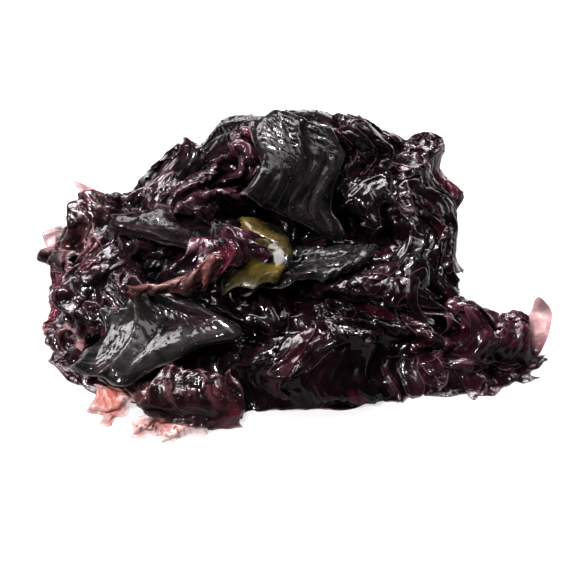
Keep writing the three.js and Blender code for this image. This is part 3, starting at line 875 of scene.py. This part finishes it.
def add_tip(film, base, end, width, seed):
    """A curled pointed tip of film between two places."""
    base, end = np.array(base), np.array(end)
    s, v = np.meshgrid(np.linspace(0, 1, TIP_POINTS[0]), np.linspace(-1, 1, TIP_POINTS[1]), indexing="ij")
    way = end - base
    side = np.array([-way[1], way[0], 0]) / np.hypot(way[0], way[1])
    ripple = 1 + TIP_RIPPLES["depth"] * np.sin(TIP_RIPPLES["along"] * s + seed)
    half = width / 2 * (1 - s ** TIP_TAPER) * ripple + TIP_END
    points = base + s[..., None] * way + (v * half)[..., None] * side
    dents = TIP_DENTS["depth"] * noise(TIP_DENTS["along"] * s, TIP_DENTS["across"] * v, seed)
    points[..., 2] += TIP_ARCH * s * (1 - s) - TIP_CUP * v * v * (1 - s) + dents
    rim = rim_distance(points)
    over, lower, _ = skinned(points, rim)
    pale, blush = TIP_PALE * smoothstep(s, *TIP_PALE_FROM), TIP_BLUSH * (1 - s)
    length = np.linalg.norm(way)
    film.add_sheet(over, lower, film_values(rim, np.zeros_like(s), s, v, length, width, pale, blush))


FILLED_FROM = 1  # how far in from its margin a folded frond is closed to below


def make_frond(row, shape, heights, ceiling):
    """A frond's film with its flaps, tips and bubbles, in place of its solid."""
    name, look, seed, through, half, give = row
    form, under, s, v, length, width = shape
    points, under = crumple(form, under, give, heights, ceiling, seed)
    points, under, s, v = torn([points, under, doubled(s), doubled(v)], length, width, seed)
    heights.take(doubled(points), np.maximum)
    rim = rim_distance(points)
    over, lower, normal = skinned(points, rim)
    if name in FOLDED:
        below = np.minimum(under[..., 2], lower[..., 2])
        filled = np.concatenate([over[..., :2], below[..., None]], -1)
        lower = np.where(rim[..., None] < FILLED_FROM, lower, filled)
    film = Film()
    pale, blush = (spots(kind, name, s, v, length, width, seed) for kind in ("pale", "blush"))
    film.add_sheet(over, lower, film_values(rim, ridges(points), s, v, length, width, pale, blush))
    for flap in range(FLAPS.get(name, 0)):
        add_flap(film, points, heights, ceiling, seed * 20 + flap)
    for index, tip in enumerate(TIPS.get(name, ())):
        add_tip(film, *tip, seed + index)
    bubbles = round(BUBBLES["per_cm2"] * length * width / 100)
    film.add_bubbles(over, normal, ceiling.at(points) > OPEN / 2, bubbles, seed + 40)
    thing = film.make(name + "_film")
    thing.data.materials.append(MATERIALS[look])
    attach(thing, "root")
    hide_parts(name)
    return thing


# Materials: the film's patches, each with its noise's scale per metre, detail and distortion, the noise at
# which it starts and is whole, and its value outside and inside
PATCHES = {
    "mid": (110, 4, 0.6, 0.38, 0.62, 0.0, 1.0),
    "wine": (70, 3, 1.0, 0.52, 0.66, 0.0, 0.8),
    "blush": (300, 3, 0.0, 0.3, 0.6, 0.35, 0.9),
    "margin": (95, 2, 0.0, 0.4, 0.6, 0.15, 1.0),
    "bleach": (240, 3, 0.0, 0.35, 0.6, 0.5, 1.0),
    "roughness": (350, 3, 0.0, 0.3, 0.7, 0.14, 0.34),
    "creased": (130, 2, 0.0, 0.4, 0.65, 0.15, 1.0),
}
RAGS = {"scale": 260, "detail": 2, "depth_mm": 1.2}  # what makes a thin margin's inner side uneven
STREAKS = {"across": 0.85, "along": 0.14, "detail": 4, "distortion": 0.5, "relief": 0.5}
STREAK_EDGES = (0.5, 0.72)
# The painted highlight on fold crests: the crest height in mm at which it starts and is whole, and how far it
# goes towards the crest colour
CREST_HIGHLIGHT = {"from_mm": 0.08, "to_mm": 0.6, "cover": 0.8}
CREASE_SCALE = 520
PORES = {"scale": 1500, "relief": 0.6}
BLUSH = (0.095, 0.011, 0.023)
BLUSH_CLEAR = 0.2
BLEACHED = (0.62, 0.36, 0.36)
BLEACHED_CLEAR = 0.55
FILM_SETTINGS = {"IOR": 1.38, "Specular IOR Level": 0.15, "Coat IOR": 1.35}

# The coat of water: how far a side has to face up for it to start and be whole, and its share elsewhere
COAT_FROM = 0.1
COAT_WHOLE = 0.5
COAT_LEAST = 0.15

MIX_COLOURS = (6, 7)  # the mix node's sockets for its two colours
MIX_RESULT = 2


class Look:
    """A material, with short ways to add to its nodes."""

    def __init__(self, name):
        self.material = bpy.data.materials.new(name)
        self.material.use_nodes = True
        self.tree = self.material.node_tree
        self.shader = self.tree.nodes["Principled BSDF"]
        self.place = self.node("ShaderNodeTexCoord").outputs["Object"]

    def node(self, kind, **values):
        made = self.tree.nodes.new(kind)
        for key, value in values.items():
            if hasattr(made, key):
                setattr(made, key, value)
            else:
                made.inputs[key.replace("_", " ")].default_value = value
        return made

    def fill(self, socket, value):
        """Sets a socket to a number or a colour, or links it to another."""
        if isinstance(value, (int, float)):
            socket.default_value = value
        elif isinstance(value, tuple):
            socket.default_value = (*value, 1)
        else:
            self.tree.links.new(value, socket)

    def texture(self, scale, detail, distortion=0.0, place=None):
        made = self.node("ShaderNodeTexNoise", Scale=scale, Detail=detail, Distortion=distortion)
        self.fill(made.inputs["Vector"], place or self.place)
        return made.outputs["Fac"]

    def remap(self, value, low, high, to_low=0.0, to_high=1.0):
        made = self.node("ShaderNodeMapRange", interpolation_type="SMOOTHSTEP")
        for key, number in (("From Min", low), ("From Max", high), ("To Min", to_low), ("To Max", to_high)):
            made.inputs[key].default_value = number
        self.fill(made.inputs["Value"], value)
        return made.outputs["Result"]

    def patches(self, kind):
        scale, detail, distortion, *limits = PATCHES[kind]
        return self.remap(self.texture(scale, detail, distortion), *limits)

    def mix(self, factor, a, b):
        made = self.node("ShaderNodeMix", data_type="RGBA")
        self.fill(made.inputs["Factor"], factor)
        for socket, colour in zip(MIX_COLOURS, (a, b)):
            self.fill(made.inputs[socket], colour)
        return made.outputs[MIX_RESULT]

    def sums(self, operation, a, b):
        made = self.node("ShaderNodeMath", operation=operation)
        self.fill(made.inputs[0], a)
        self.fill(made.inputs[1], b)
        return made.outputs[0]

    def times(self, a, b):
        return self.sums("MULTIPLY", a, b)

    def attribute(self, key):
        return self.node("ShaderNodeAttribute", attribute_name=key).outputs["Fac"]


def lengthwise_streaks(look):
    """Noise that is drawn out along the frond."""
    place = look.node("ShaderNodeCombineXYZ")
    look.fill(place.inputs["X"], look.times(look.attribute("across_mm"), STREAKS["across"]))
    look.fill(place.inputs["Y"], look.times(look.attribute("along_mm"), STREAKS["along"]))
    return look.texture(1.0, STREAKS["detail"], STREAKS["distortion"], place.outputs[0])


def thin_margin(look, thin_mm):
    """The cover of the thin, ragged margin."""
    rags = look.sums("SUBTRACT", look.texture(RAGS["scale"], RAGS["detail"]), 0.5)
    ragged = look.sums("ADD", look.attribute("rim_mm"), look.times(rags, RAGS["depth_mm"]))
    return look.times(look.remap(ragged, 0.0, thin_mm, 1.0, 0.0), look.patches("margin"))


def fine_relief(look, streak, relief_mm):
    """The film's normal, with fine creases, pores and streaks."""
    kind = {"noise_type": "RIDGED_MULTIFRACTAL", "normalize": True}
    creases = look.node("ShaderNodeTexNoise", **kind, Scale=CREASE_SCALE, Detail=4)
    look.fill(creases.inputs["Vector"], look.place)
    pores = look.times(look.texture(PORES["scale"], 3), PORES["relief"])
    relief = look.times(look.sums("ADD", creases.outputs["Fac"], pores), look.patches("creased"))
    relief = look.sums("ADD", relief, look.times(streak, STREAKS["relief"]))
    bump = look.node("ShaderNodeBump", Strength=1.0, Distance=relief_mm * MM)
    look.fill(bump.inputs["Height"], relief)
    return bump.outputs["Normal"]


def film_material(name, deep, mid, wine, crest_highlight_and_streak, thin_and_edge_highlight, thin_mm, clear, streaks, relief_mm, gloss, wet):
    """Wet laver film: deep and mid tones in patches, wine stains, a painted highlight in the crest colour on
    the crests, the same colour along lengthwise streaks, a thin margin that is paler and partly a painted
    highlight along the wet edge, with fine relief under a coat of water, whose roughness is gloss and whose
    cover is wet."""
    look = Look(name)
    streak = lengthwise_streaks(look)
    margin = thin_margin(look, thin_mm)
    blush = look.attribute("blush")
    bleached = look.times(look.attribute("pale"), look.patches("bleach"))

    colour = look.mix(look.patches("mid"), deep, mid)
    colour = look.mix(look.patches("wine"), colour, wine)
    colour = look.mix(look.remap(streak, *STREAK_EDGES, 0.0, streaks), colour, crest_highlight_and_streak)
    # Painted highlight: the film is lightened towards the crest colour where it stands up in a crest
    crest_highlight = look.remap(look.attribute("ridge_mm"), CREST_HIGHLIGHT["from_mm"], CREST_HIGHLIGHT["to_mm"], 0.0, CREST_HIGHLIGHT["cover"])
    colour = look.mix(crest_highlight, colour, crest_highlight_and_streak)
    colour = look.mix(look.times(blush, look.patches("blush")), colour, BLUSH)
    # The margin colour: the thin film's own paler tone, and partly a painted highlight along the wet edge
    colour = look.mix(margin, colour, thin_and_edge_highlight)
    colour = look.mix(bleached, colour, BLEACHED)

    clear_margin = look.times(margin, clear)
    see_through = look.sums("MAXIMUM", clear_margin, look.times(bleached, BLEACHED_CLEAR))
    see_through = look.sums("MAXIMUM", see_through, look.times(blush, BLUSH_CLEAR))

    facing = look.node("ShaderNodeSeparateXYZ")
    look.fill(facing.inputs[0], look.node("ShaderNodeNewGeometry").outputs["Normal"])
    coat = look.remap(facing.outputs["Z"], COAT_FROM, COAT_WHOLE, COAT_LEAST * wet, wet)
    normal = fine_relief(look, streak, relief_mm)
    settings = {
        "Base Color": colour, "Alpha": look.sums("SUBTRACT", 1.0, see_through),
        "Roughness": look.patches("roughness"), "Coat Weight": coat, "Coat Roughness": gloss,
        "Normal": normal, "Coat Normal": normal, **FILM_SETTINGS,
    }
    for key, value in settings.items():
        look.fill(look.shader.inputs[key], value)
    return look.material


# Each look's deep, middle and wine colours, its crest colour (a painted highlight on fold crests, and the
# tone of its streaks) and its margin colour (the thin film's paler tone, partly a painted highlight along the
# wet edge), then the margin's width in mm and how clear it is, how strong its streaks are, its fine relief's
# depth in mm, its coat's roughness and how wet it is
LOOKS = {
    "purple": ((0.0025, 0.0009, 0.0015), (0.010, 0.003, 0.005), (0.020, 0.004, 0.009), (0.042, 0.015, 0.023),
               (0.16, 0.09, 0.12), 0.6, 0.4, 0.3, 0.3, 0.03, 1.0),
    # A darker copy of purple with less coat: painted shade for the fronds of the heap's darker lower middle
    # and right
    "shaded_purple": ((0.0012, 0.0006, 0.0007), (0.0036, 0.0013, 0.0018), (0.008, 0.0022, 0.0038),
             (0.012, 0.0045, 0.0062), (0.10, 0.05, 0.06), 0.5, 0.35, 0.3, 0.08, 0.025, 0.62),
    "dark": ((0.0015, 0.0007, 0.001), (0.0045, 0.0016, 0.0024), (0.010, 0.0028, 0.005), (0.024, 0.009, 0.014),
             (0.18, 0.11, 0.14), 0.8, 0.4, 0.3, 0.06, 0.05, 0.5),
    "magenta": ((0.004, 0.001, 0.002), (0.016, 0.004, 0.0075), (0.036, 0.007, 0.016), (0.065, 0.022, 0.035),
                (0.20, 0.09, 0.12), 0.6, 0.4, 0.3, 0.3, 0.03, 1.0),
    "brown": ((0.003, 0.001, 0.001), (0.014, 0.005, 0.006), (0.035, 0.010, 0.011), (0.07, 0.028, 0.03),
              (0.24, 0.13, 0.14), 0.8, 0.5, 0.3, 0.3, 0.03, 1.0),
    # A lighter copy of slate with more coat: its lighter colour is a painted sheen on the broad front-left
    # frond
    "sheen_lit_slate": ((0.004, 0.0038, 0.0037), (0.015, 0.0135, 0.0132), (0.018, 0.009, 0.011), (0.048, 0.044, 0.042),
             (0.20, 0.18, 0.17), 0.6, 0.4, 0.6, 0.06, 0.05, 0.48),
    "slate": ((0.0022, 0.002, 0.002), (0.0075, 0.0066, 0.0065), (0.010, 0.005, 0.006), (0.028, 0.026, 0.025),
              (0.20, 0.18, 0.17), 0.6, 0.4, 0.7, 0.12, 0.09, 0.27),
    "dusk": ((0.003, 0.0018, 0.002), (0.009, 0.0048, 0.006), (0.014, 0.004, 0.007), (0.026, 0.016, 0.02),
             (0.16, 0.12, 0.13), 0.8, 0.4, 0.7, 0.15, 0.06, 0.14),
    "amber": ((0.007, 0.007, 0.0045), (0.04, 0.031, 0.009), (0.10, 0.068, 0.011), (0.05, 0.046, 0.026),
              (0.15, 0.14, 0.10), 1.2, 0.35, 0.4, 0.06, 0.09, 0.35),
    "rose": ((0.26, 0.08, 0.07), (0.46, 0.26, 0.24), (0.48, 0.17, 0.13), (0.72, 0.52, 0.50),
             (0.84, 0.69, 0.67), 7.0, 0.9, 0.5, 0.15, 0.03, 1.0),
    "rust": ((0.012, 0.004, 0.004), (0.04, 0.012, 0.011), (0.08, 0.020, 0.018), (0.11, 0.05, 0.045),
             (0.20, 0.10, 0.09), 0.6, 0.3, 0.8, 0.3, 0.05, 0.8),
}
MATERIALS = {look: film_material(look + "_laver", *values) for look, values in LOOKS.items()}

forms = [frond_form(row) for row in FRONDS]
heights = Levels(0)
for row, shape, ceiling in zip(FRONDS, forms, ceilings(forms)):
    make_frond(row, shape, heights, ceiling)


# The floor, the lights and the camera
FLOOR_HALF = 2.0  # metres
FLOOR = {
    "Base Color": (0.2, 0.2, 0.2, 1), "Roughness": 0.55,
    "Emission Color": (1, 1, 1, 1), "Emission Strength": 0.66,
}
WORLD_LIGHT = 0.05
LIGHT_COLOUR = (1.0, 0.955, 0.985)
LIGHT_TARGET = (0, 0, 0.02)
GAMMA = 0.88

# The lights: two sides in metres, watts, azimuth and elevation in degrees, and distance in metres
LIGHTS = {
    "key": (0.06, 0.06, 9.0, 240, 50, 0.8),
    "back": (0.52, 0.32, 14.0, -20, 57, 0.75),
    "side": (0.32, 0.24, 2.4, 60, 58, 0.75),
    "edge": (0.04, 0.04, 4.6, 30, 52, 0.75),
    "front": (0.03, 0.03, 2.2, 195, 60, 0.8),
}


def stage_floor():
    mesh = bpy.data.meshes.new("floor")
    corners = [(x * FLOOR_HALF, y * FLOOR_HALF, 0) for x, y in ((-1, -1), (1, -1), (1, 1), (-1, 1))]
    mesh.from_pydata(corners, [], [(0, 1, 2, 3)])
    floor = placed("floor", mesh)
    material = bpy.data.materials.new("white_floor")
    material.use_nodes = True
    for key, value in FLOOR.items():
        material.node_tree.nodes["Principled BSDF"].inputs[key].default_value = value
    mesh.materials.append(material)


def area_light(name, length, width, power, azimuth, elevation, distance):
    data = bpy.data.lights.new(name, "AREA")
    data.shape = "RECTANGLE"
    data.size, data.size_y = length, width
    data.energy = power
    data.color = LIGHT_COLOUR
    light = placed(name, data)
    a, e = math.radians(azimuth), math.radians(elevation)
    way = Vector((math.sin(a) * math.cos(e), math.cos(a) * math.cos(e), math.sin(e)))
    light.location = Vector(LIGHT_TARGET) + way * distance
    light.rotation_euler = way.to_track_quat("Z", "Y").to_euler()


def dim_world():
    world = bpy.data.worlds.new("studio")
    world.use_nodes = True
    background = world.node_tree.nodes["Background"]
    background.inputs["Color"].default_value = (1, 1, 1, 1)
    background.inputs["Strength"].default_value = WORLD_LIGHT
    bpy.context.scene.world = world


def camera():
    data = bpy.data.cameras.new("camera")
    data.lens = LENS_MM
    data.sensor_width = SENSOR_MM
    view = placed("camera", data)
    target = (Vector(CAMERA_TARGET) - Vector(MIDDLE)) * MM
    way = Vector((0, -math.cos(CAMERA_ELEVATION), math.sin(CAMERA_ELEVATION)))
    view.location = target + way * CAMERA_DISTANCE * MM
    view.rotation_euler = way.to_track_quat("Z", "Y").to_euler()
    bpy.context.scene.camera = view


stage_floor()
for name, values in LIGHTS.items():
    area_light(name, *values)
dim_world()
camera()
bpy.context.scene.view_settings.view_transform = "Standard"
bpy.context.scene.view_settings.gamma = GAMMA
